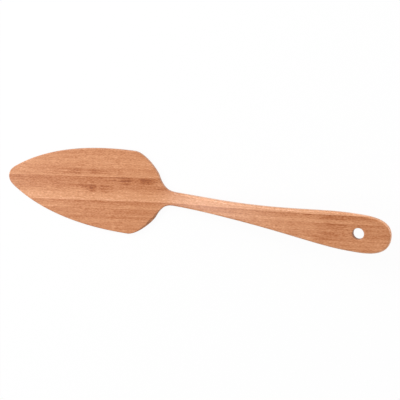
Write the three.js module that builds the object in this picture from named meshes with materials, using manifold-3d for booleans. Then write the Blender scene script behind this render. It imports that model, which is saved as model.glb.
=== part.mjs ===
// Kitchen spatula of laminated bamboo: a leaf-shaped blade, a slim neck and a flared handle with a hang
// hole. The tool is cut from a board of edge-glued strips, and every strip is a solid of its own.
// Millimetres, +Z up. X runs along the tool from the tip to the handle's end, Y runs across it, and the
// blade's underside lies on z = 0. The origin is below the middle of the tool's box.
import * as THREE from 'three';
import { mergeVertices } from 'three/addons/utils/BufferGeometryUtils.js';
import Module from 'manifold-3d';

// Lengths of the outline's stretches, in order from the tip to the handle's end
const NOSE_LENGTH = 4.6;
const FLANK_LENGTH = 94.6;
const SHOULDER_LENGTH = 20.6;
const FILLET_LENGTH = 17.2;
const GRIP_LENGTH = 132.4;
const END_LENGTH = 26.8;

// Full widths where those stretches meet
const NOSE_WIDTH = 15.2;
const BLADE_WIDTH = 63.2;
const SHOULDER_WIDTH = 31.2;
const NECK_WIDTH = 10;
const GRIP_WIDTH = 26.6;

// Run of the outline where it isn't level, and the reach of its curves' handles: shares of the stretch that
// they lie in, and of the half width at the tip and the end
const NOSE_SLOPE = 0.7;
const SHOULDER_SLOPE = -2.2;
const REACH = {
  tip: 0.5,
  noseIn: 0.42,
  noseOut: 0.32,
  widestIn: 0.26,
  widestOut: 0.36,
  shoulderIn: 0.1,
  shoulderOut: 0.3,
  neckIn: 0.36,
  neckOut: 0.59,
  gripIn: 0.22,
  gripOut: 0.32,
  end: 1.09,
};

// Thicknesses, and the rounding of the edges, slight on the blade and full on the handle, which takes up to a
// share of the thickness
const TIP_THICKNESS = 2;
const BLADE_THICKNESS = 4;
const NECK_THICKNESS = 6.5;
const END_THICKNESS = 5;
const BLADE_EDGE = 0.7;
const HANDLE_EDGE = 1.6;
const EDGE_SHARE = 0.45;

// The bend that raises the handle, from the blade's shoulders past the neck's start: the handle leaves it at
// the bend's angle and levels off evenly to the end's angle
const BEND_ANGLE = THREE.MathUtils.degToRad(16);
const END_ANGLE = THREE.MathUtils.degToRad(3.5);
const BEND_LENGTH = 46;
const BEND_FROM_WIDEST = 18.8;

// The hang hole, square to the handle's faces
const HOLE_DIAMETER = 8;
const HOLE_FROM_END = 22.5;

// The shallow scoops that a sanding drum left on the top edge of the lower shoulder: their places back and out
// from where the shoulder meets the fillet, how far they reach in from the outline there and their runs in
// plan, then their tilt, and the drum's radius and width
const SCOOPS = [
  { back: 0, out: 0, inset: 1.3, slope: 1.7 },
  { back: 3.2, out: 4.7, inset: 1.9, slope: 1.3 },
  { back: 7.7, out: 9.2, inset: 1.3, slope: 0.95 },
];
const SCOOP_TILT = THREE.MathUtils.degToRad(32);
const DRUM_RADIUS = 28;
const DRUM_WIDTH = 2.1;

// The strips of the board: the middle glue line, between the two long strips, crosses the tool's axis past
// the neck's start, and what is left at the blade's edges is a strip of its own from the least width on
const STRIP_WIDTH = 6;
const GLUE_LINE = 0.1;
const GRAIN_ANGLE = THREE.MathUtils.degToRad(6.23);
const GRAIN_CROSSING = 23.4;
const LEAST_STRIP = 2.5;

// Fineness of the curves, and how many times larger than the tool its cutters are
const STEPS_PER_CURVE = 12;
const EDGE_STEPS = 3;
const HOLE_SIDES = 32;
const DRUM_SIDES = 90;
const OVERSIZE = 3;

// Colours of the strips, from the middle glue line outward
const TAN = 0xd3956d;
const DEEP = 0xc1815a;
const PALE = 0xe9b28a;
const UPPER_COLOURS = [PALE, TAN, DEEP, TAN, TAN, TAN, TAN];
const LOWER_COLOURS = [TAN, TAN, DEEP, TAN];
const ROUGHNESS = 0.62;

// Places along the tool, counted from the tip
const noseAt = NOSE_LENGTH;
const widestAt = noseAt + FLANK_LENGTH;
const shoulderAt = widestAt + SHOULDER_LENGTH;
const neckAt = shoulderAt + FILLET_LENGTH;
const gripAt = neckAt + GRIP_LENGTH;
const endAt = gripAt + END_LENGTH;
const bendAt = widestAt + BEND_FROM_WIDEST;
const bentAt = bendAt + BEND_LENGTH;
const holeAt = endAt - HOLE_FROM_END;
const crossingAt = neckAt + GRAIN_CROSSING;

const wasm = await Module();
wasm.setup();

// One side of the plan outline, from the tip to the handle's end: x along the tool, y the half width
function halfOutline() {
  const nose = new THREE.Vector2(noseAt, NOSE_WIDTH / 2);
  const widest = new THREE.Vector2(widestAt, BLADE_WIDTH / 2);
  const shoulder = new THREE.Vector2(shoulderAt, SHOULDER_WIDTH / 2);
  const neck = new THREE.Vector2(neckAt, NECK_WIDTH / 2);
  const grip = new THREE.Vector2(gripAt, GRIP_WIDTH / 2);
  const level = new THREE.Vector2(1, 0);
  const noseWay = new THREE.Vector2(1, NOSE_SLOPE);
  const shoulderWay = new THREE.Vector2(1, SHOULDER_SLOPE);
  const path = new THREE.Path();
  const stretch = (one, other, to) => path.bezierCurveTo(one.x, one.y, other.x, other.y, to.x, to.y);
  const handle = (from, way, length) => from.clone().addScaledVector(way, length);
  path.moveTo(0, 0);
  stretch(new THREE.Vector2(0, REACH.tip * nose.y),
    handle(nose, noseWay, -REACH.noseIn * NOSE_LENGTH), nose);
  stretch(handle(nose, noseWay, REACH.noseOut * FLANK_LENGTH),
    handle(widest, level, -REACH.widestIn * FLANK_LENGTH), widest);
  stretch(handle(widest, level, REACH.widestOut * SHOULDER_LENGTH),
    handle(shoulder, shoulderWay, -REACH.shoulderIn * SHOULDER_LENGTH), shoulder);
  stretch(handle(shoulder, shoulderWay, REACH.shoulderOut * FILLET_LENGTH),
    handle(neck, level, -REACH.neckIn * FILLET_LENGTH), neck);
  stretch(handle(neck, level, REACH.neckOut * GRIP_LENGTH),
    handle(grip, level, -REACH.gripIn * GRIP_LENGTH), grip);
  stretch(handle(grip, level, REACH.gripOut * END_LENGTH), new THREE.Vector2(endAt, REACH.end * grip.y),
    new THREE.Vector2(endAt, 0));
  return path.getPoints(STEPS_PER_CURVE);
}

// Slope of the underside: level under the blade, rising evenly through the bend, then levelling off evenly
function undersideSlope(x) {
  const bent = THREE.MathUtils.clamp((x - bendAt) / BEND_LENGTH, 0, 1);
  const levelled = THREE.MathUtils.clamp((x - bentAt) / (endAt - bentAt), 0, 1);
  return Math.tan(BEND_ANGLE) * bent + (Math.tan(END_ANGLE) - Math.tan(BEND_ANGLE)) * levelled;
}

// Height of the underside, the sum of that slope from the tip to x
function undersideHeight(x) {
  const bent = THREE.MathUtils.clamp(x - bendAt, 0, BEND_LENGTH);
  const past = Math.max(0, x - bentAt);
  const levelling = (Math.tan(END_ANGLE) - Math.tan(BEND_ANGLE)) * past * past / (2 * (endAt - bentAt));
  return Math.tan(BEND_ANGLE) * (bent * bent / (2 * BEND_LENGTH) + past) + levelling;
}

// Thickness: a thin tip, a stout neck and a slightly thinner handle
function thickness(x) {
  if (x < widestAt) {
    return THREE.MathUtils.mapLinear(x, 0, widestAt, TIP_THICKNESS, BLADE_THICKNESS);
  }
  if (x < bentAt) {
    const rise = THREE.MathUtils.smoothstep(x, bendAt, bentAt);
    return THREE.MathUtils.lerp(BLADE_THICKNESS, NECK_THICKNESS, rise);
  }
  return THREE.MathUtils.lerp(NECK_THICKNESS, END_THICKNESS, THREE.MathUtils.smoothstep(x, bentAt, endAt));
}

// Radius of the rounded edges
function edgeRadius(x) {
  const radius = THREE.MathUtils.lerp(BLADE_EDGE, HANDLE_EDGE, THREE.MathUtils.smoothstep(x, bendAt, bentAt));
  return Math.min(radius, EDGE_SHARE * thickness(x));
}

// A point of the tool: plan place x, y and height above the underside, measured square to the underside
function placed(x, y, height) {
  const lean = Math.atan(undersideSlope(x));
  return new THREE.Vector3(x - height * Math.sin(lean), y, undersideHeight(x) + height * Math.cos(lean));
}

// Outward direction of the half outline at each of its points
function outlineNormals(points) {
  return points.map((point, i) => {
    if (i === 0) return new THREE.Vector2(-1, 0);
    if (i === points.length - 1) return new THREE.Vector2(1, 0);
    const along = points[i + 1].clone().sub(points[i - 1]).normalize();
    return new THREE.Vector2(-along.y, along.x);
  });
}

// The edge's rounding as rings: share of the radius that a ring is set in by, and its distance from a face
function edgeRings() {
  const rings = [];
  for (let step = 0; step <= EDGE_STEPS; step += 1) {
    const angle = (Math.PI / 2) * (1 - step / EDGE_STEPS);
    rings.push({ inset: 1 - Math.cos(angle), drop: 1 - Math.sin(angle) });
  }
  return rings;
}

// The whole tool as one closed surface: rings of the outline stacked round the edge, closed by two faces
function toolSurface() {
  const outline = halfOutline();
  const normals = outlineNormals(outline);
  const last = outline.length - 1;
  const rings = edgeRings();
  const vertices = [];
  const ringPoints = (ring, fromTop) => outline.map((point, i) => {
    const radius = edgeRadius(point.x);
    const plan = point.clone().addScaledVector(normals[i], -ring.inset * radius);
    const full = thickness(plan.x);
    const height = fromTop ? full - ring.drop * radius : ring.drop * radius;
    const upper = vertices.push(placed(plan.x, plan.y, height)) - 1;
    if (i === 0 || i === last) return [upper, upper];
    return [upper, vertices.push(placed(plan.x, -plan.y, height)) - 1];
  });
  const stack = rings.map((ring) => ringPoints(ring, false));
  [...rings].reverse().forEach((ring) => stack.push(ringPoints(ring, true)));

  const triangles = [];
  const addQuad = (a, b, c, d) => {
    if (a !== b && b !== c && a !== c) triangles.push(a, b, c);
    if (a !== c && c !== d && a !== d) triangles.push(a, c, d);
  };
  for (let level = 0; level + 1 < stack.length; level += 1) {
    for (let i = 0; i < last; i += 1) {
      const [low, high] = [stack[level], stack[level + 1]];
      addQuad(low[i][0], high[i][0], high[i + 1][0], low[i + 1][0]);
      addQuad(low[i][1], low[i + 1][1], high[i + 1][1], high[i][1]);
    }
  }
  const [under, top] = [stack[0], stack[stack.length - 1]];
  for (let i = 0; i < last; i += 1) {
    addQuad(under[i][0], under[i + 1][0], under[i + 1][1], under[i][1]);
    addQuad(top[i][0], top[i][1], top[i + 1][1], top[i + 1][0]);
  }
  const geometry = new THREE.BufferGeometry().setFromPoints(vertices);
  geometry.setIndex(triangles);
  return geometry;
}

// A closed geometry as a solid that can be cut
function solid(geometry) {
  const bare = geometry.clone();
  bare.deleteAttribute('normal');
  bare.deleteAttribute('uv');
  const merged = mergeVertices(bare);
  const vertProperties = new Float32Array(merged.attributes.position.array);
  const triVerts = new Uint32Array(merged.index.array);
  return new wasm.Manifold(new wasm.Mesh({ numProp: 3, vertProperties, triVerts }));
}

// The drill for the hang hole, longer than the handle is thick
function holeDrill() {
  const radius = HOLE_DIAMETER / 2;
  const drill = new THREE.CylinderGeometry(radius, radius, OVERSIZE * thickness(holeAt), HOLE_SIDES);
  const centre = placed(holeAt, 0, thickness(holeAt) / 2);
  drill.rotateX(Math.PI / 2);
  drill.rotateY(-Math.atan(undersideSlope(holeAt)));
  drill.translate(centre.x, centre.y, centre.z);
  return drill;
}

// The drum that leaves a scoop on the lower shoulder: it touches the top face along the scoop's run
function shoulderDrum({ back, out, inset, slope }) {
  const run = new THREE.Vector3(1, slope, 0).normalize();
  const outward = new THREE.Vector3(run.y, -run.x, 0);
  const axis = outward.clone().applyAxisAngle(run, SCOOP_TILT);
  const square = new THREE.Vector3().crossVectors(run, axis);
  const plan = new THREE.Vector3(shoulderAt - back, -SHOULDER_WIDTH / 2 - out, 0)
    .addScaledVector(outward, -inset);
  const centre = placed(plan.x, plan.y, thickness(plan.x))
    .addScaledVector(square, -DRUM_RADIUS)
    .addScaledVector(axis, DRUM_WIDTH / 2);
  const drum = new THREE.CylinderGeometry(DRUM_RADIUS, DRUM_RADIUS, DRUM_WIDTH, DRUM_SIDES);
  return drum.applyMatrix4(new THREE.Matrix4().makeBasis(run, axis, square).setPosition(centre));
}

// Distance of a plan point from the middle glue line, square to the grain
function acrossGrain(x, y) {
  return y * Math.cos(GRAIN_ANGLE) - (x - crossingAt) * Math.sin(GRAIN_ANGLE);
}

// How far some points of the outline reach across the grain, on the upper side (1) or the lower side (-1)
function reachAcross(points, side) {
  return Math.max(...points.map((point) => side * acrossGrain(point.x, side * point.y)));
}

// The rows of strips on one side, from the middle glue line outward: as many as the blade needs. The
// outermost row takes what is left over on the blade and on the handle
function stripRows(side, colours) {
  const outline = halfOutline();
  const blade = outline.filter((point) => point.x < neckAt);
  const count = Math.floor((reachAcross(blade, side) - LEAST_STRIP) / STRIP_WIDTH) + 1;
  const rows = [];
  for (let row = 1; row <= count; row += 1) {
    const inner = (row - 1) * STRIP_WIDTH + GLUE_LINE / 2;
    const glued = row * STRIP_WIDTH - GLUE_LINE / 2;
    const outer = row < count ? glued : reachAcross(outline, side) + STRIP_WIDTH;
    const colour = colours[(row - 1) % colours.length];
    rows.push({ side, row, colour, inner: side * inner, outer: side * outer });
  }
  return rows;
}

// A slab of the board between two glue lines, larger than the tool in its other directions
function boardSlab({ inner, outer }) {
  const slab = new THREE.BoxGeometry(OVERSIZE * endAt, Math.abs(outer - inner), OVERSIZE * endAt);
  const middle = (inner + outer) / 2;
  slab.rotateZ(GRAIN_ANGLE);
  slab.translate(crossingAt - middle * Math.sin(GRAIN_ANGLE), middle * Math.cos(GRAIN_ANGLE), 0);
  return slab;
}

// The separate bodies of a cut solid, each as a geometry, in order along the tool
function bodiesOf(cut) {
  const { vertProperties, triVerts } = cut.getMesh();
  const owner = Array.from({ length: vertProperties.length / 3 }, (_, vertex) => vertex);
  const root = (vertex) => {
    let at = vertex;
    while (owner[at] !== at) at = owner[at];
    return at;
  };
  for (let t = 0; t < triVerts.length; t += 3) {
    const first = root(triVerts[t]);
    owner[root(triVerts[t + 1])] = first;
    owner[root(triVerts[t + 2])] = first;
  }
  const groups = new Map();
  for (let t = 0; t < triVerts.length; t += 3) {
    const key = root(triVerts[t]);
    if (!groups.has(key)) groups.set(key, []);
    groups.get(key).push(triVerts[t], triVerts[t + 1], triVerts[t + 2]);
  }
  const bodies = [...groups.values()].map((index) => {
    const geometry = new THREE.BufferGeometry();
    geometry.setAttribute('position', new THREE.BufferAttribute(new Float32Array(vertProperties), 3));
    geometry.setIndex(index);
    const body = geometry.toNonIndexed();
    body.computeBoundingBox();
    return body;
  });
  return bodies.sort((one, other) => one.boundingBox.min.x - other.boundingBox.min.x);
}

// What a person would call a strip: its side, the ends of the tool that it reaches and its row
function stripName({ min, max }, { side, row }) {
  const reachesBlade = min.x < shoulderAt;
  const reachesHandle = max.x > neckAt + GRIP_LENGTH / 2;
  const stretch = reachesBlade ? 'blade' : 'handle';
  return `${side > 0 ? 'upper' : 'lower'}_${reachesBlade && reachesHandle ? 'long' : stretch}_strip_${row}`;
}

// Every strip as a mesh of its own. Where the hang hole cuts a strip in two, the far piece is its end
const spatula = new THREE.Group();
const cutters = [holeDrill(), ...SCOOPS.map(shoulderDrum)];
const board = cutters.reduce((left, cutter) => left.subtract(solid(cutter)), solid(toolSurface()));
[...stripRows(1, UPPER_COLOURS).reverse(), ...stripRows(-1, LOWER_COLOURS)].forEach((strip) => {
  bodiesOf(board.intersect(solid(boardSlab(strip)))).forEach((geometry) => {
    const name = stripName(geometry.boundingBox, strip);
    const material = new THREE.MeshStandardMaterial({
      color: strip.colour,
      roughness: ROUGHNESS,
      metalness: 0,
    });
    const mesh = new THREE.Mesh(mergeVertices(geometry), material);
    mesh.name = spatula.getObjectByName(name) ? `${name}_end` : name;
    spatula.add(mesh);
  });
});

const box = new THREE.Box3().setFromObject(spatula);
spatula.position.set(-(box.min.x + box.max.x) / 2, 0, -box.min.z);

export default spatula;
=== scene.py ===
"""Looks of a kitchen spatula that is cut from a board of edge-glued bamboo strips.

Every strip is built as a fine mesh that stands for the coarser solid of the frame. Every row of strips
has a bamboo material of its own: fibres that follow the grain, a dark and a light side, and knuckles.
Shapes are worked out in millimetres from the tip, and placed in the frame in metres.
"""

from collections import namedtuple
from math import atan, cos, pi, radians, sin, tan

import bmesh
import bpy
from mathutils import Matrix, Vector


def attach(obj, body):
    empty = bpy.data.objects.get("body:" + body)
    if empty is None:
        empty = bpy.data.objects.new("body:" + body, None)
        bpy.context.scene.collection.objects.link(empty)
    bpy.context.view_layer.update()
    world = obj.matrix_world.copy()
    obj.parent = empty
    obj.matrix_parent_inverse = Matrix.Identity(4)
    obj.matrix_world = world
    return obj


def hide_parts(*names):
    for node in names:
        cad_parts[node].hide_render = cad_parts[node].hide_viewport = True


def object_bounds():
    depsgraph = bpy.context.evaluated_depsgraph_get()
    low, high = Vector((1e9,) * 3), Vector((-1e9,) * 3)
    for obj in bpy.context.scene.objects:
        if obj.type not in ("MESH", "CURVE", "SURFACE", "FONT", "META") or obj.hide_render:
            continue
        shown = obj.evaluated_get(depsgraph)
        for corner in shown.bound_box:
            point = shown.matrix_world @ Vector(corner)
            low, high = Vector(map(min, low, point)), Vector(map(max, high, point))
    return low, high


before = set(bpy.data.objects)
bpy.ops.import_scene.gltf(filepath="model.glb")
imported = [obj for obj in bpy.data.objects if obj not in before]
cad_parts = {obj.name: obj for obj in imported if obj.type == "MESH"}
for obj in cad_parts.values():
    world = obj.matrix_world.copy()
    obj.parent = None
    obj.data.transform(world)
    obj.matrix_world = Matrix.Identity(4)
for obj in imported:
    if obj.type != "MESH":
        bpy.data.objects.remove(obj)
cad_low, cad_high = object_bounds()

MM = 0.001

# Lengths of the outline's stretches, in order from the tip to the handle's end
NOSE_LENGTH = 4.6
FLANK_LENGTH = 94.6
SHOULDER_LENGTH = 20.6
FILLET_LENGTH = 17.2
GRIP_LENGTH = 132.4
END_LENGTH = 26.8

# Full widths where those stretches meet
NOSE_WIDTH = 15.2
BLADE_WIDTH = 63.2
SHOULDER_WIDTH = 31.2
NECK_WIDTH = 10
GRIP_WIDTH = 26.6

# Run of the outline where it isn't level, and the reach of its curves' handles: shares of the stretch that
# they lie in, and of the half width at the tip and the end
NOSE_SLOPE = 0.7
SHOULDER_SLOPE = -2.2
REACH = {
    "tip": 0.5,
    "nose_in": 0.42,
    "nose_out": 0.32,
    "widest_in": 0.26,
    "widest_out": 0.36,
    "shoulder_in": 0.1,
    "shoulder_out": 0.3,
    "neck_in": 0.36,
    "neck_out": 0.59,
    "grip_in": 0.22,
    "grip_out": 0.32,
    "end": 1.09,
}

# Thicknesses, and the rounding of the edges, slight on the blade and full on the handle, which takes up to
# a share of the thickness
TIP_THICKNESS = 2
BLADE_THICKNESS = 4
NECK_THICKNESS = 6.5
END_THICKNESS = 5
BLADE_EDGE = 0.7
HANDLE_EDGE = 1.6
EDGE_SHARE = 0.45

# The bend that raises the handle: its slope, the slope that the handle levels off to, the bend's length,
# and how far past the widest place it starts
BEND_SLOPE = tan(radians(16))
END_SLOPE = tan(radians(3.5))
BEND_LENGTH = 46
BEND_FROM_WIDEST = 18.8

# The hang hole, square to the handle's faces: its diameter, distance from the end, and rounded rim
HOLE_DIAMETER = 8
HOLE_FROM_END = 22.5
HOLE_RIM = 0.6

# The shallow scoops that a sanding drum left on the top edge of the lower shoulder: their places back and
# out from where the shoulder meets the fillet, how far they reach in from the outline there and their runs
# in plan, then their tilt, and the drum's radius and width
Scoop = namedtuple("Scoop", "back out inset slope")
SCOOPS = (Scoop(0, 0, 1.3, 1.7), Scoop(3.2, 4.7, 1.9, 1.3), Scoop(7.7, 9.2, 1.3, 0.95))
SCOOP_TILT = radians(32)
DRUM_RADIUS = 28
DRUM_WIDTH = 2.1

# The strips: their width, their angle to the tool's axis, and how far past the neck's start the middle glue
# line crosses that axis, then the names of its two sides
STRIP_WIDTH = 6
GRAIN_ANGLE = radians(6.23)
GRAIN_CROSSING = 23.4
SIDE_NAMES = {1: "upper", -1: "lower"}

# Fineness of the meshes: the steps along each stretch and round the edges, how far the flat faces start
# inside an edge as a share of its radius, the sides of what cuts the tool and the steps of the hole's rim,
# the angle past which two faces meet in a sharp edge, the distance under which two points are one, and the
# rounds that find a place in the grain
NOSE_STEPS = 20
FLANK_STEPS = 64
SHOULDER_STEPS = 32
FILLET_STEPS = 32
GRIP_STEPS = 72
END_STEPS = 44
EDGE_STEPS = 8
LID_INSET = 0.25
HOLE_SIDES = 72
DRUM_SIDES = 360
RIM_STEPS = 5
SHARP_ANGLE = radians(28)
SAME_POINT = 0.0005
GRAIN_ROUNDS = 4

# Places along the tool, counted from the tip
nose_at = NOSE_LENGTH
widest_at = nose_at + FLANK_LENGTH
shoulder_at = widest_at + SHOULDER_LENGTH
neck_at = shoulder_at + FILLET_LENGTH
grip_at = neck_at + GRIP_LENGTH
end_at = grip_at + END_LENGTH
bend_at = widest_at + BEND_FROM_WIDEST
bent_at = bend_at + BEND_LENGTH
hole_at = end_at - HOLE_FROM_END
crossing_at = neck_at + GRAIN_CROSSING


# Shape of the whole tool

def smooth(value, low, high):
    """0 below low, 1 above high, and an even S between them."""
    share = min(1, max(0, (value - low) / (high - low)))
    return share * share * (3 - 2 * share)


def curve(start, one, other, to, steps):
    """Points of a cubic curve, without its start."""
    def point(t):
        ends = start * (1 - t) ** 3 + to * t ** 3
        return ends + one * (3 * t * (1 - t) ** 2) + other * (3 * t * t * (1 - t))
    return [point((step + 1) / steps) for step in range(steps)]


def half_outline():
    """One side of the plan outline, from the tip to the end: x along the tool, y the half width."""
    nose = Vector((nose_at, NOSE_WIDTH / 2))
    widest = Vector((widest_at, BLADE_WIDTH / 2))
    shoulder = Vector((shoulder_at, SHOULDER_WIDTH / 2))
    neck = Vector((neck_at, NECK_WIDTH / 2))
    grip = Vector((grip_at, GRIP_WIDTH / 2))
    level = Vector((1, 0))
    nose_way = Vector((1, NOSE_SLOPE))
    shoulder_way = Vector((1, SHOULDER_SLOPE))
    points = [Vector((0, 0))]

    def stretch(one, other, to, steps):
        points.extend(curve(points[-1], one, other, to, steps))

    stretch(Vector((0, REACH["tip"] * nose.y)),
            nose - nose_way * REACH["nose_in"] * NOSE_LENGTH, nose, NOSE_STEPS)
    stretch(nose + nose_way * REACH["nose_out"] * FLANK_LENGTH,
            widest - level * REACH["widest_in"] * FLANK_LENGTH, widest, FLANK_STEPS)
    stretch(widest + level * REACH["widest_out"] * SHOULDER_LENGTH,
            shoulder - shoulder_way * REACH["shoulder_in"] * SHOULDER_LENGTH, shoulder, SHOULDER_STEPS)
    stretch(shoulder + shoulder_way * REACH["shoulder_out"] * FILLET_LENGTH,
            neck - level * REACH["neck_in"] * FILLET_LENGTH, neck, FILLET_STEPS)
    stretch(neck + level * REACH["neck_out"] * GRIP_LENGTH,
            grip - level * REACH["grip_in"] * GRIP_LENGTH, grip, GRIP_STEPS)
    stretch(grip + level * REACH["grip_out"] * END_LENGTH,
            Vector((end_at, REACH["end"] * grip.y)), Vector((end_at, 0)), END_STEPS)
    return points


def outline_normals(points):
    """Outward direction of the half outline at each of its points."""
    normals = [Vector((-1, 0))]
    for before, after in zip(points, points[2:]):
        along = (after - before).normalized()
        normals.append(Vector((-along.y, along.x)))
    normals.append(Vector((1, 0)))
    return normals


def underside_slope(x):
    """Slope of the underside: level under the blade, rising through the bend, then levelling off evenly."""
    bent = min(1, max(0, (x - bend_at) / BEND_LENGTH))
    levelled = min(1, max(0, (x - bent_at) / (end_at - bent_at)))
    return BEND_SLOPE * bent + (END_SLOPE - BEND_SLOPE) * levelled


def underside_height(x):
    """Height of the underside, the sum of that slope from the tip to x."""
    bent = min(BEND_LENGTH, max(0, x - bend_at))
    past = max(0, x - bent_at)
    levelling = (END_SLOPE - BEND_SLOPE) * past * past / (2 * (end_at - bent_at))
    return BEND_SLOPE * (bent * bent / (2 * BEND_LENGTH) + past) + levelling


def thickness(x):
    """Thickness: a thin tip, a stout neck and a slightly thinner handle."""
    if x < widest_at:
        return TIP_THICKNESS + (BLADE_THICKNESS - TIP_THICKNESS) * x / widest_at
    if x < bent_at:
        return BLADE_THICKNESS + (NECK_THICKNESS - BLADE_THICKNESS) * smooth(x, bend_at, bent_at)
    return NECK_THICKNESS + (END_THICKNESS - NECK_THICKNESS) * smooth(x, bent_at, end_at)


def edge_radius(x):
    """Radius of the rounded edges."""
    radius = BLADE_EDGE + (HANDLE_EDGE - BLADE_EDGE) * smooth(x, bend_at, bent_at)
    return min(radius, EDGE_SHARE * thickness(x))


def placed(x, y, height):
    """A point of the tool in the frame, from its plan place and its height square to the underside."""
    lean = atan(underside_slope(x))
    along = x - height * sin(lean)
    up = underside_height(x) + height * cos(lean)
    return Vector((cad_low.x + along * MM, y * MM, cad_low.z + up * MM))


def edge_rings():
    """The edge from the underside to its outermost place: shares of its radius inward and upward."""
    rings = [(1 + LID_INSET, 0)]
    for step in range(EDGE_STEPS + 1):
        angle = pi / 2 * (1 - step / EDGE_STEPS)
        rings.append((1 - cos(angle), 1 - sin(angle)))
    return rings


def whole_tool():
    """The whole tool as one closed mesh: rings of the outline stacked round the edge, and two faces."""
    tool = bmesh.new()
    outline = half_outline()
    normals = outline_normals(outline)
    last = len(outline) - 1

    def ring(inset, rise, from_top):
        pairs = []
        for i, (point, normal) in enumerate(zip(outline, normals)):
            radius = edge_radius(point.x)
            plan = point - normal * inset * radius
            height = thickness(plan.x) - rise * radius if from_top else rise * radius
            upper = tool.verts.new(placed(plan.x, plan.y, height))
            on_axis = i in (0, last)
            pairs.append((upper, upper if on_axis else tool.verts.new(placed(plan.x, -plan.y, height))))
        return pairs

    rings = edge_rings()
    stack = [ring(inset, rise, False) for inset, rise in rings]
    stack += [ring(inset, rise, True) for inset, rise in reversed(rings)]

    def face(*corners):
        tool.faces.new(list(dict.fromkeys(corners)))

    for low, high in zip(stack, stack[1:]):
        for i in range(last):
            face(low[i][0], high[i][0], high[i + 1][0], low[i + 1][0])
            face(low[i][1], low[i + 1][1], high[i + 1][1], high[i][1])
    under, top = stack[0], stack[-1]
    for i in range(last):
        face(under[i][0], under[i + 1][0], under[i + 1][1], under[i][1])
        face(top[i][0], top[i][1], top[i + 1][1], top[i + 1][0])
    return tool


def hole_drill():
    """The drill for the hang hole: a cylinder that flares at both faces into a rounded rim."""
    drill = bmesh.new()
    half = thickness(hole_at) / 2
    profile = [(HOLE_DIAMETER / 2 + 2 * HOLE_RIM, half + HOLE_RIM)]
    for step in range(RIM_STEPS + 1):
        angle = pi / 2 * step / RIM_STEPS
        radius = HOLE_DIAMETER / 2 + HOLE_RIM * (1 - sin(angle))
        profile.append((radius, half - HOLE_RIM * (1 - cos(angle))))
    profile += [(radius, -height) for radius, height in reversed(profile)]
    turn = Matrix.Rotation(-atan(underside_slope(hole_at)), 3, "Y")
    centre = placed(hole_at, 0, half)
    rings = []
    for radius, height in profile:
        corners = [2 * pi * side / HOLE_SIDES for side in range(HOLE_SIDES)]
        spots = [Vector((radius * cos(corner), radius * sin(corner), height)) for corner in corners]
        rings.append([drill.verts.new(centre + turn @ spot * MM) for spot in spots])
    for one, other in zip(rings, rings[1:]):
        for side in range(HOLE_SIDES):
            following = (side + 1) % HOLE_SIDES
            drill.faces.new((one[side], other[side], other[following], one[following]))
    drill.faces.new(rings[0])
    drill.faces.new(reversed(rings[-1]))
    return drill


def shoulder_drum(scoop):
    """The drum that leaves a scoop on the lower shoulder: it touches the top face along the scoop's run."""
    run = Vector((1, scoop.slope, 0)).normalized()
    outward = Vector((run.y, -run.x, 0))
    up = Vector((0, 0, 1))
    axis = outward * cos(SCOOP_TILT) - up * sin(SCOOP_TILT)
    square = outward * sin(SCOOP_TILT) + up * cos(SCOOP_TILT)
    corner = Vector((shoulder_at - scoop.back, -SHOULDER_WIDTH / 2 - scoop.out, 0))
    plan = corner - outward * scoop.inset
    touching = placed(plan.x, plan.y, thickness(plan.x))
    turn = Matrix((run, square, axis)).transposed().to_4x4()
    turn.translation = touching + (square * DRUM_RADIUS + axis * DRUM_WIDTH / 2) * MM
    drum = bmesh.new()
    bmesh.ops.create_cone(drum, cap_ends=True, segments=DRUM_SIDES, radius1=DRUM_RADIUS * MM,
                          radius2=DRUM_RADIUS * MM, depth=DRUM_WIDTH * MM, matrix=turn)
    return drum


def object_of(name, shape):
    """A new object in the scene with the shape's mesh."""
    bmesh.ops.recalc_face_normals(shape, faces=shape.faces)
    mesh = bpy.data.meshes.new(name)
    shape.to_mesh(mesh)
    shape.free()
    made = bpy.data.objects.new(name, mesh)
    bpy.context.scene.collection.objects.link(made)
    return made


def drilled_tool():
    """The whole tool with its hang hole and its scoops, as a mesh to cut into strips."""
    tool = object_of("tool", whole_tool())
    drums = [object_of("drum", shoulder_drum(scoop)) for scoop in SCOOPS]
    cutters = [object_of("drill", hole_drill()), *drums]
    for cutter in cutters:
        cut = tool.modifiers.new(cutter.name, "BOOLEAN")
        cut.operation = "DIFFERENCE"
        cut.solver = "EXACT"
        cut.object = cutter
    finished = tool.evaluated_get(bpy.context.evaluated_depsgraph_get())
    board = bmesh.new()
    board.from_mesh(finished.to_mesh())
    for helper in (tool, *cutters):
        bpy.data.meshes.remove(helper.data)
    return board


# The strips

def across_grain(x, y):
    """Distance of a plan point from the middle glue line, square to the grain."""
    return y * cos(GRAIN_ANGLE) - (x - crossing_at) * sin(GRAIN_ANGLE)


def grain_place(spot):
    """A point's distance along the grain, across it from the middle glue line, and above the underside."""
    along = (spot.x - cad_low.x) / MM
    y = spot.y / MM
    up = (spot.z - cad_low.z) / MM
    x = along
    for _ in range(GRAIN_ROUNDS):
        lean = atan(underside_slope(x))
        height = (up - underside_height(x)) / cos(lean)
        x = along + height * sin(lean)
    return Vector((x * cos(GRAIN_ANGLE) + y * sin(GRAIN_ANGLE), across_grain(along, y), height))


def kept_side(shape, limit, side):
    """Cuts a shape along a glue line, keeps what lies on one side across the grain, and closes the cut."""
    normal = Vector((-sin(GRAIN_ANGLE), cos(GRAIN_ANGLE), 0))
    middle = Vector((cad_low.x + crossing_at * MM, 0, 0))
    parts = shape.verts[:] + shape.edges[:] + shape.faces[:]
    bmesh.ops.bisect_plane(shape, geom=parts, dist=SAME_POINT * MM, plane_co=middle + normal * limit * MM,
                           plane_no=normal * -side, clear_outer=True)
    open_edges = [edge for edge in shape.edges if edge.is_boundary]
    wall = bmesh.ops.holes_fill(shape, edges=open_edges, sides=0)
    bmesh.ops.triangulate(shape, faces=wall["faces"], ngon_method="BEAUTY")


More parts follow.
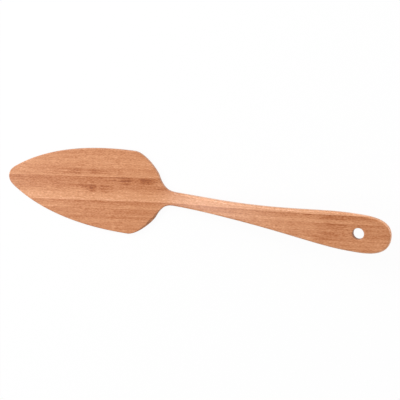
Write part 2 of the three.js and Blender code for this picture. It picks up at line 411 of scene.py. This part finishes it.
def bodies_of(shape):
    """The separate bodies of a cut shape, in order along the tool."""
    shape.verts.ensure_lookup_table()
    shape.verts.index_update()
    left = set(range(len(shape.verts)))
    groups = []
    while left:
        group = set()
        reached = [left.pop()]
        while reached:
            vertex = reached.pop()
            group.add(vertex)
            near = {edge.other_vert(shape.verts[vertex]).index for edge in shape.verts[vertex].link_edges}
            reached.extend(near & left)
            left -= near
        groups.append(group)
    groups.sort(key=lambda group: min(shape.verts[vertex].co.x for vertex in group))
    bodies = []
    for group in groups:
        body = shape.copy()
        others = [vertex for vertex in body.verts if vertex.index not in group]
        bmesh.ops.delete(body, geom=others, context="VERTS")
        bodies.append(body)
    return bodies


def strip_node(body, side, row):
    """The name of the frame's node that a strip stands for."""
    reach = [(vertex.co.x - cad_low.x) / MM for vertex in body.verts]
    on_blade = min(reach) < shoulder_at
    on_handle = max(reach) > neck_at + GRIP_LENGTH / 2
    stretch = "blade" if on_blade else "handle"
    if on_blade and on_handle:
        stretch = "long"
    return f"{SIDE_NAMES[side]}_{stretch}_strip_{row}"


def add_grain(mesh):
    """Keeps each point's place in the grain with the mesh, for its material."""
    grain = mesh.attributes.new("grain", "FLOAT_VECTOR", "POINT")
    for vertex, value in zip(mesh.vertices, grain.data):
        value.vector = grain_place(vertex.co)


# Bamboo

def linear(red, green, blue):
    """A colour from its display values of 0 to 255, by the display's own curve."""
    def channel(value):
        share = value / 255
        return share / 12.92 if share <= 0.04045 else ((share + 0.055) / 1.055) ** 2.4
    return (channel(red), channel(green), channel(blue), 1)


# Colours of bamboo from the darkest flame to the palest pith, by tone
TONES = (
    (0.0, linear(142, 68, 18)),
    (0.25, linear(175, 100, 49)),
    (0.5, linear(199, 130, 85)),
    (0.75, linear(218, 152, 106)),
    (1.0, linear(242, 179, 139)),
)

# Tone of each row of strips from the middle glue line outward: at its upper side, and what its lower side
# adds to that, then the shares of a strip's width between which the one goes over into the other
Row = namedtuple("Row", "tone sweep")
UPPER_ROWS = (Row(0.68, 0.11), Row(0.45, 0.18), Row(0.37, 0.15), Row(0.55, 0.08), Row(0.65, -0.12),
              Row(0.58, 0.08), Row(0.47, 0.05))
LOWER_ROWS = (Row(0.41, 0.27), Row(0.48, 0.1), Row(0.5, 0.12), Row(0.51, 0))
SWEEP_FROM = 0.1
SWEEP_TO = 1.1

# Dark flames that point away from the bamboo's knuckles, by side and row of their strip: the root's place
# along the grain, the share of the strip above it, reach (to the left below 0), half width, and depth
Flame = namedtuple("Flame", "root share reach half depth")
FLAMES = {
    (1, 4): (
        Flame(61, 0.12, -28, 1.1, 0.23),
        Flame(60.5, 0.45, -25, 1.6, 0.23),
        Flame(65.5, 0.3, 20, 2.0, 0.22),
        Flame(67, 0.55, 24, 1.3, 0.17),
    ),
    (1, 3): (
        Flame(100.5, 0.08, -22, 0.75, 0.32),
        Flame(99.5, 0.45, -22, 0.8, 0.36),
        Flame(99.5, 0.5, -11, 2.4, 0.08),
        Flame(99, 0.85, -13, 0.9, 0.3),
        Flame(102, 0.55, 3.5, 0.6, 0.22),
        Flame(106, 0.5, 19, 2.9, 0.24),
        Flame(106, 0.12, 17, 1.2, 0.1),
    ),
    (1, 2): (
        Flame(66.1, 0.43, 4.2, 1.0, 0.4),
        Flame(72, 0.43, -17, 3.0, 0.24),
        Flame(71.5, 0.1, -24, 1.1, 0.2),
        Flame(70.5, 0.8, -8, 1.1, 0.26),
        Flame(74, 0.17, 13, 1.1, 0.24),
        Flame(73, 0.55, 14, 1.3, 0.22),
        Flame(75.5, 0.84, 10, 0.9, 0.17),
        Flame(127, 0.35, -17, 1.0, 0.18),
    ),
    (-1, 1): (
        Flame(239.5, 0.1, -9, 0.9, 0.1),
        Flame(244, 0.2, 46, 2.4, 0.05),
        Flame(248, 0.45, 14, 1.8, 0.04),
    ),
    (-1, 2): (
        Flame(250, 0.12, 16, 1.3, 0.11),
        Flame(252.5, 0.44, 12, 1.4, 0.14),
    ),
    (-1, 3): (
        Flame(237, 0.55, 15, 1.8, 0.13),
        Flame(248, 0.4, 15, 2.2, 0.12),
        Flame(240, 0.85, 22, 1.8, 0.18),
    ),
}

# A flame's form: how far the dashes fray it and the fibres streak it, the shares of its reach between which
# it sets in and past which it fades, its tip's share of its half width, and the shares of its half width
# between which its sides fade
FLAME_RAGGED = 0.5
FLAME_STREAKS = -1.5
FLAME_BEFORE_ROOT = -0.06
FLAME_PAST_ROOT = 0.1
FLAME_FADE = 0.4
FLAME_TIP = 0.2
FLAME_CORE = 0.3
FLAME_SIDE = 1.2

# Painted light along the board, added to the tone: a painted sheen near the tip, painted light on the
# sloping grip, and painted light at the handle's end: place along the grain, reach to either side, and what
# they add to the tone
PaintedLight = namedtuple("PaintedLight", "at reach tone")
PAINTED_LIGHT = (PaintedLight(0, 55, 0.03), PaintedLight(225, 85, 0.07), PaintedLight(295, 40, 0.06))

# Where a strip's next length of cane starts at a knuckle, what that adds to its tone, and over what length
Step = namedtuple("Step", "at tone")
STEPS = {(-1, 1): Step(242, -0.13), (-1, 2): Step(238, -0.11), (-1, 3): Step(241, -0.11)}
STEP_LENGTH = 8

# Patterns in the tone: waves to a millimetre along and across the grain, detail, and weight. The wander
# bends the fibres, so its weight is a length
Pattern = namedtuple("Pattern", "along across detail weight")
FIBRES = Pattern(0.025, 1.5, 2.0, 0.45)
DASHES = Pattern(0.18, 1.7, 1.0, 0.45)
PORES = Pattern(0.6, 2.0, 1.0, 0.9)
BANDS = Pattern(0.012, 0.5, 1.0, 0.22)
CLOUDS = Pattern(0.03, 0.1, 1.0, 0.14)
WANDER = Pattern(0.03, 0.12, 1.0, 0.9)

# Places in the noise, so that no two rows are alike: the step from row to row, and the start of the lower
# rows, then the noise's middle
ROW_SEED = 10
LOWER_SEED = 100
NOISE_MIDDLE = 0.5

# Darker glue at a strip's sides: how far it fades into the strip, and what it adds to the tone
GLUE_FADE = 0.14
GLUE_TONE = -0.3

# Dull brown end grain where the blade's shoulders, by side, and the hang hole cut across the fibres; on the
# shoulders it is also painted shade, far stronger on the lower one that faces away from the light: its
# colour, its shares there, what it adds to the roughness, and how far ahead of the fillet's two ends it
# starts to fade and is gone
END_GRAIN_AND_SHADE = linear(122, 78, 54)
SHOULDER_GRAIN_AND_SHADE = {1: 0.1, -1: 0.8}
HOLE_SHARE = 0.5
END_GRAIN_ROUGHNESS = 0.45
CUT_AHEAD = 8

# What counts as such a cut on the shoulders, where it starts and where it is full: the upright share of a
# face's normal, and the share along the grain
CUT_LEVEL = 0.96
CUT_STEEP = 0.78
CUT_OBLIQUE = 0.2
CUT_SQUARE = 0.5

# Painted light on the handle's rounded edges, added to the tone: the places along the grain where the
# painted highlight round its end starts and is full, what that highlight adds to the tone there, the
# painted sheen past the neck, the painted light along the lower side before and at the end, and how far to
# either side of the neck's start they set in
RIM_FROM = 258
RIM_TO = 284
END_RIM_HIGHLIGHT = 0.4
NECK_RIM_SHEEN = PaintedLight(152, 60, 0.26)
LOWER_RIM_LIGHT = 0.09
LOWER_END_RIM_LIGHT = 0.22
NECK_RUN = 6

# What counts as such a rim, where it starts and where it is full: the upright share of a face's normal
# round the end, and the share to either side along the handle, then the share at which the lower side's is
# full
RIM_LEVEL = 0.93
RIM_STEEP = 0.75
RIM_FLAT = 0.1
RIM_ROUND = 0.42
RIM_LOWER = -0.2

# Roughness, what the fibres add to it, and the height of their relief
ROUGHNESS = 0.34
FIBRE_ROUGHNESS = 0.2
FIBRE_RELIEF = 0.022


class Nodes:
    """The node tree of a material or the world, with short ways to add nodes to it."""

    # Numbers of the mix node's sockets for colours, which share their names with those for other values
    MIX_INPUTS = (0, 6, 7)
    MIX_RESULT = 2

    def __init__(self, owner):
        owner.use_nodes = True
        self.tree = owner.node_tree

    def put(self, value, socket):
        """Links a socket's value to an input, or sets a plain value on it."""
        if isinstance(value, bpy.types.NodeSocket):
            self.tree.links.new(value, socket)
        else:
            socket.default_value = value

    def add(self, kind, inputs, **settings):
        """A new node with its settings, and with its inputs by name or number."""
        node = self.tree.nodes.new(kind)
        for name, value in settings.items():
            setattr(node, name, value)
        for key, value in inputs.items():
            self.put(value, node.inputs[key])
        return node

    def math(self, operation, *values):
        """The result of a calculation with one, two or three values."""
        return self.add("ShaderNodeMath", dict(enumerate(values)), operation=operation).outputs[0]

    def rise(self, value, low, high, to_low=0.0, to_high=1.0):
        """A value that goes evenly from one to another as its source goes from low to high."""
        inputs = {"Value": value, "From Min": low, "From Max": high, "To Min": to_low, "To Max": to_high}
        return self.add("ShaderNodeMapRange", inputs, interpolation_type="SMOOTHSTEP").outputs["Result"]

    def mix(self, share, colour, other):
        """A colour that goes over to another as the share rises."""
        inputs = dict(zip(self.MIX_INPUTS, (share, colour, other)))
        return self.add("ShaderNodeMix", inputs, data_type="RGBA").outputs[self.MIX_RESULT]

    def ramp(self, value, colours):
        """A colour from a value, by the places and colours of a ramp."""
        node = self.add("ShaderNodeValToRGB", {"Fac": value})
        stops = node.color_ramp.elements
        while len(stops) < len(colours):
            stops.new(1.0)
        for stop, (position, colour) in zip(stops, colours):
            stop.position = position
            stop.color = colour
        return node.outputs["Color"]

    def place(self, along, across, height):
        """A place in the grain, put together from its three distances."""
        return self.add("ShaderNodeCombineXYZ", {0: along, 1: across, 2: height}).outputs[0]

    def noise(self, place, pattern, seed):
        """A pattern of noise about 0, stretched along the grain."""
        waves = (pattern.along, pattern.across, pattern.across)
        inputs = {0: place, 1: waves, 2: (seed, seed, seed)}
        moved = self.add("ShaderNodeVectorMath", inputs, operation="MULTIPLY_ADD").outputs[0]
        inputs = {"Vector": moved, "Scale": 1.0, "Detail": pattern.detail}
        noise = self.add("ShaderNodeTexNoise", inputs).outputs["Fac"]
        return self.math("SUBTRACT", noise, NOISE_MIDDLE)


# A point's distance along its row of strips, across it as the fibres bend and as a share of the strip's
# width from its upper side, and the patterns of noise there
Bed = namedtuple("Bed", "along bent share fibres dashes pores bands clouds")


def upper_side(side, row):
    """Distance of a row's upper side from the middle glue line."""
    return row * STRIP_WIDTH if side > 0 else (1 - row) * STRIP_WIDTH


def grain_bed(nodes, grain, side, row):
    """Where a point of the grain lies in its row of strips, and the patterns of noise there."""
    seed = ROW_SEED * row if side > 0 else LOWER_SEED + ROW_SEED * row
    along, across, height = nodes.add("ShaderNodeSeparateXYZ", {0: grain}).outputs
    below = nodes.math("SUBTRACT", upper_side(side, row), across)
    bent = nodes.math("MULTIPLY_ADD", nodes.noise(grain, WANDER, seed), WANDER.weight, across)
    place = nodes.place(along, bent, height)
    return Bed(
        along=along,
        bent=bent,
        share=nodes.math("DIVIDE", below, STRIP_WIDTH),
        fibres=nodes.noise(place, FIBRES, seed + 1),
        dashes=nodes.noise(place, DASHES, seed + 2),
        pores=nodes.noise(place, PORES, seed + 3),
        bands=nodes.noise(place, BANDS, seed + 4),
        clouds=nodes.noise(grain, CLOUDS, seed + 5),
    )


def strip_tone(nodes, bed, side, row, look):
    """The tone of a row of strips: a dark and a light side, patterns, knuckles, glue, painted light along
    the board, and painted light on the handle's rims.
    """
    tone = nodes.rise(bed.share, SWEEP_FROM, SWEEP_TO, look.tone, look.tone + look.sweep)
    noises = (bed.fibres, bed.dashes, bed.pores, bed.bands, bed.clouds)
    for noise, pattern in zip(noises, (FIBRES, DASHES, PORES, BANDS, CLOUDS)):
        tone = nodes.math("MULTIPLY_ADD", noise, pattern.weight, tone)
    for spot in FLAMES.get((side, row), ()):
        middle = upper_side(side, row) - spot.share * STRIP_WIDTH
        tone = nodes.math("SUBTRACT", tone, flame(nodes, bed, middle, spot))
    # Painted light along the board: a painted sheen near the tip, painted light on the grip and at the end
    for painted in PAINTED_LIGHT:
        tone = nodes.math("ADD", tone, painted_light_stretch(nodes, bed.along, painted))
    if (side, row) in STEPS:
        step = STEPS[side, row]
        past = nodes.rise(bed.along, step.at, step.at + STEP_LENGTH, 0.0, step.tone)
        tone = nodes.math("ADD", tone, past)
    tone = nodes.math("MULTIPLY_ADD", glue(nodes, bed.share, side, row), GLUE_TONE, tone)
    # Adds the painted highlight, sheen and light on the handle's rounded edges
    return nodes.math("ADD", painted_rim_light(nodes, bed.along), tone)


def bamboo(name, side, row, look):
    """The bamboo of one row of strips: its colour by tone with painted light in it, dull end grain that is
    also painted shade on the shoulders, and fibres that can be felt.
    """
    material = bpy.data.materials.new(name)
    nodes = Nodes(material)
    grain = nodes.add("ShaderNodeAttribute", {}, attribute_name="grain").outputs["Vector"]
    bed = grain_bed(nodes, grain, side, row)
    tone = strip_tone(nodes, bed, side, row, look)
    # End grain on the shoulders and the hole, with painted shade mostly on the lower shoulder
    cut = nodes.math("MULTIPLY", shoulder_cut(nodes, bed.along), SHOULDER_GRAIN_AND_SHADE[side])
    cut = nodes.math("MULTIPLY_ADD", hole_wall(nodes, grain), HOLE_SHARE, cut)
    rough = nodes.math("MULTIPLY_ADD", bed.fibres, FIBRE_ROUGHNESS, ROUGHNESS)
    rough = nodes.math("MULTIPLY_ADD", cut, END_GRAIN_ROUGHNESS, rough)
    relief = nodes.math("ADD", bed.dashes, bed.fibres)
    bump = nodes.add("ShaderNodeBump", {"Strength": 1.0, "Distance": FIBRE_RELIEF * MM, "Height": relief})
    shader = nodes.tree.nodes["Principled BSDF"].inputs
    nodes.put(nodes.mix(cut, nodes.ramp(tone, TONES), END_GRAIN_AND_SHADE), shader["Base Color"])
    nodes.put(rough, shader["Roughness"])
    nodes.put(bump.outputs["Normal"], shader["Normal"])
    return material


def painted_light_stretch(nodes, along, painted):
    """What a stretch of painted light adds to the tone: most at its place, and nothing past its reach."""
    off = nodes.math("ABSOLUTE", nodes.math("SUBTRACT", along, painted.at))
    return nodes.rise(off, 0.0, painted.reach, painted.tone, 0.0)


def flame(nodes, bed, middle, spot):
    """How much one dark flame takes from the tone: full at its root, thin and faint at its tip."""
    gone = nodes.math("DIVIDE", nodes.math("SUBTRACT", bed.along, spot.root), spot.reach)
    gone = nodes.math("MULTIPLY_ADD", bed.dashes, FLAME_RAGGED, gone)
    start = nodes.rise(gone, FLAME_BEFORE_ROOT, FLAME_PAST_ROOT)
    fade = nodes.rise(gone, FLAME_FADE, 1.0, 1.0, 0.0)
    half = nodes.rise(gone, 0.0, 1.0, spot.half, spot.half * FLAME_TIP)
    beside = nodes.math("ABSOLUTE", nodes.math("SUBTRACT", bed.bent, middle))
    within = nodes.rise(nodes.math("DIVIDE", beside, half), FLAME_CORE, FLAME_SIDE, 1.0, 0.0)
    streaks = nodes.math("MULTIPLY_ADD", bed.fibres, FLAME_STREAKS, 1.0)
    lengthwise = nodes.math("MULTIPLY", start, fade)
    crosswise = nodes.math("MULTIPLY", within, streaks)
    return nodes.math("MULTIPLY", nodes.math("MULTIPLY", lengthwise, crosswise), spot.depth)


def painted_rim_light(nodes, along):
    """Painted light on the handle's rounded edges, added to the tone: a painted highlight round its end,
    painted sheen past the neck and painted light along its lower side; nothing on its faces.
    """
    normal = nodes.add("ShaderNodeNewGeometry", {}).outputs["Normal"]
    _, side, up = nodes.add("ShaderNodeSeparateXYZ", {0: normal}).outputs
    steep = nodes.rise(nodes.math("ABSOLUTE", up), RIM_STEEP, RIM_LEVEL, 1.0, 0.0)
    at_end = nodes.math("MULTIPLY", steep, nodes.rise(along, RIM_FROM, RIM_TO, 0.0, END_RIM_HIGHLIGHT))
    at_neck = painted_light_stretch(nodes, along, NECK_RIM_SHEEN)
    lower = nodes.rise(along, RIM_FROM, RIM_TO, LOWER_RIM_LIGHT, LOWER_END_RIM_LIGHT)
    lower = nodes.math("MULTIPLY", lower, nodes.rise(side, RIM_LOWER, 0.0, 1.0, 0.0))
    rounded = nodes.rise(nodes.math("ABSOLUTE", side), RIM_FLAT, RIM_ROUND)
    along_handle = nodes.math("MULTIPLY", nodes.math("MAXIMUM", at_neck, lower), rounded)
    past_neck = nodes.rise(along, neck_at - NECK_RUN, neck_at + NECK_RUN)
    return nodes.math("MAXIMUM", at_end, nodes.math("MULTIPLY", along_handle, past_neck))


def shoulder_cut(nodes, along):
    """1 on the steep walls of the blade's shoulders, which cut across the fibres, 0 elsewhere."""
    normal = nodes.add("ShaderNodeNewGeometry", {}).outputs["Normal"]
    way = (cos(GRAIN_ANGLE), sin(GRAIN_ANGLE), 0)
    facing = nodes.add("ShaderNodeVectorMath", {0: normal, 1: way}, operation="DOT_PRODUCT")
    across = nodes.rise(facing.outputs["Value"], CUT_OBLIQUE, CUT_SQUARE)
    upright = nodes.math("ABSOLUTE", nodes.add("ShaderNodeSeparateXYZ", {0: normal}).outputs["Z"])
    steep = nodes.rise(upright, CUT_STEEP, CUT_LEVEL, 1.0, 0.0)
    on_blade = nodes.rise(along, shoulder_at - CUT_AHEAD, neck_at - CUT_AHEAD, 1.0, 0.0)
    return nodes.math("MULTIPLY", nodes.math("MULTIPLY", across, steep), on_blade)


def glue(nodes, share, side, row):
    """1 on the glue at a strip's sides, 0 beside it. The lowest row has none at its lower edge."""
    fade = GLUE_FADE / STRIP_WIDTH
    near = nodes.rise(nodes.math("ABSOLUTE", share), 0.0, fade, 1.0, 0.0)
    if side < 0 and row == len(LOWER_ROWS):
        return near
    far = nodes.math("ABSOLUTE", nodes.math("SUBTRACT", 1.0, share))
    return nodes.math("ADD", near, nodes.rise(far, 0.0, fade, 1.0, 0.0))


def hole_wall(nodes, grain):
    """1 on the drilled wall of the hang hole, 0 on the faces beside it."""
    centre = grain_place(placed(hole_at, 0, 0))
    off = nodes.add("ShaderNodeVectorMath", {0: grain, 1: centre}, operation="SUBTRACT").outputs[0]
    flat = nodes.add("ShaderNodeVectorMath", {0: off, 1: (1, 1, 0)}, operation="MULTIPLY").outputs[0]
    away = nodes.add("ShaderNodeVectorMath", {0: flat}, operation="LENGTH").outputs["Value"]
    wall = HOLE_DIAMETER / 2
    return nodes.rise(away, wall, wall + HOLE_RIM / 2, 1.0, 0.0)


# Pieces


def add_strips():
    """Cuts the tool into its strips, and puts each in the place of the frame's node."""
    board = drilled_tool()
    for side, looks in ((1, UPPER_ROWS), (-1, LOWER_ROWS)):
        for row, look in enumerate(looks, 1):
            strip = board.copy()
            kept_side(strip, side * (row - 1) * STRIP_WIDTH, side)
            if row < len(looks):
                kept_side(strip, side * row * STRIP_WIDTH, -side)
            material = bamboo(f"bamboo_{SIDE_NAMES[side]}_{row}", side, row, look)
            for body in bodies_of(strip):
                node = strip_node(body, side, row)
                for face in body.faces:
                    face.smooth = True
                piece = object_of(f"{node}_fine", body)
                piece.data.set_sharp_from_angle(angle=SHARP_ANGLE)
                piece.data.materials.append(material)
                add_grain(piece.data)
                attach(piece, "root")
                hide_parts(node)
            strip.free()
    board.free()


# Floor, light and camera, in metres

# The floor: its size, how far it lies below the tool, its grey where its shadow shows and where it throws
# light back, and how much of the shadow shows
FLOOR_SIZE = 6.0
FLOOR_BELOW = 0.0002
FLOOR_WHITE = 0.96
FLOOR_BOUNCE = 0.85
SHADOW_SHARE = 0.05

# Strength of the even light, and the soft square lamps round the tool, with their power, size and place
WORLD_LIGHT = 0.4
Lamp = namedtuple("Lamp", "power size place")
LAMPS = {
    "key": Lamp(7.2, 0.6, Vector((-0.65, 0.5, 0.72))),
    "side": Lamp(3.2, 0.4, Vector((-0.85, -0.26, 0.85))),
    "end": Lamp(4.5, 0.6, Vector((1.1, 0.5, 0.35))),
}

# The camera: its turns away from straight above, its distance from the point that it looks at, that point,
# and its lens as the picture's width and the focal length in pixels
VIEW_TILT = radians(-11.28)
VIEW_SWING = radians(12.68)
VIEW_ROLL = radians(8.16)
VIEW_DISTANCE = 0.8165
VIEW_TARGET = Vector((0.00395, 0.00132, 0))
IMAGE_WIDTH = 400
FOCAL_PIXELS = 1100


def grey(share):
    """A grey, from black at 0 to white at 1."""
    return (share, share, share, 1)


def seen(nodes):
    """1 for what the camera sees, straight, in a reflection or through glass, and 0 for light."""
    rays = nodes.add("ShaderNodeLightPath", {}).outputs
    shown = nodes.math("MAXIMUM", rays["Is Camera Ray"], rays["Is Glossy Ray"])
    return nodes.math("MAXIMUM", shown, rays["Is Transmission Ray"])


def add_floor():
    """A white floor that keeps a faint shadow of the tool."""
    bpy.ops.mesh.primitive_plane_add(size=FLOOR_SIZE, location=(0, 0, -FLOOR_BELOW))
    ground = bpy.context.object
    ground.name = "floor"
    material = bpy.data.materials.new("floor_white")
    nodes = Nodes(material)
    nodes.tree.nodes.clear()
    shaded = nodes.add("ShaderNodeBsdfDiffuse", {"Color": grey(FLOOR_WHITE)}).outputs[0]
    bounce = nodes.add("ShaderNodeBsdfDiffuse", {"Color": grey(FLOOR_BOUNCE)}).outputs[0]
    white = nodes.add("ShaderNodeEmission", {"Strength": 1.0}).outputs[0]
    veiled = nodes.add("ShaderNodeMixShader", {0: SHADOW_SHARE, 1: white, 2: shaded}).outputs[0]
    surface = nodes.add("ShaderNodeMixShader", {0: seen(nodes), 1: bounce, 2: veiled}).outputs[0]
    nodes.add("ShaderNodeOutputMaterial", {"Surface": surface})
    ground.data.materials.append(material)


def add_light():
    """Even white light from all round, and soft lamps that face the tool."""
    world = bpy.data.worlds.new("studio")
    bpy.context.scene.world = world
    nodes = Nodes(world)
    background = nodes.tree.nodes["Background"].inputs
    nodes.put(grey(1), background["Color"])
    nodes.put(nodes.rise(seen(nodes), 0.0, 1.0, WORLD_LIGHT, 1.0), background["Strength"])
    for name, made in LAMPS.items():
        lamp = bpy.data.lights.new(name, "AREA")
        lamp.energy = made.power
        lamp.size = made.size
        light = bpy.data.objects.new(name, lamp)
        light.location = made.place
        light.rotation_euler = (-made.place).to_track_quat("-Z", "Y").to_euler()
        bpy.context.scene.collection.objects.link(light)


def add_camera():
    """A camera above the tool, at the photograph's viewing angle."""
    lens = bpy.data.cameras.new("camera")
    lens.angle = 2 * atan(IMAGE_WIDTH / 2 / FOCAL_PIXELS)
    camera = bpy.data.objects.new("camera", lens)
    camera.rotation_mode = "ZYX"
    camera.rotation_euler = (VIEW_TILT, VIEW_SWING, VIEW_ROLL)
    turn = camera.rotation_euler.to_matrix()
    camera.location = VIEW_TARGET + turn @ Vector((0, 0, VIEW_DISTANCE))
    bpy.context.scene.collection.objects.link(camera)
    bpy.context.scene.camera = camera


add_camera()
add_light()
add_floor()
add_strips()
bpy.context.scene.view_settings.view_transform = "Standard"
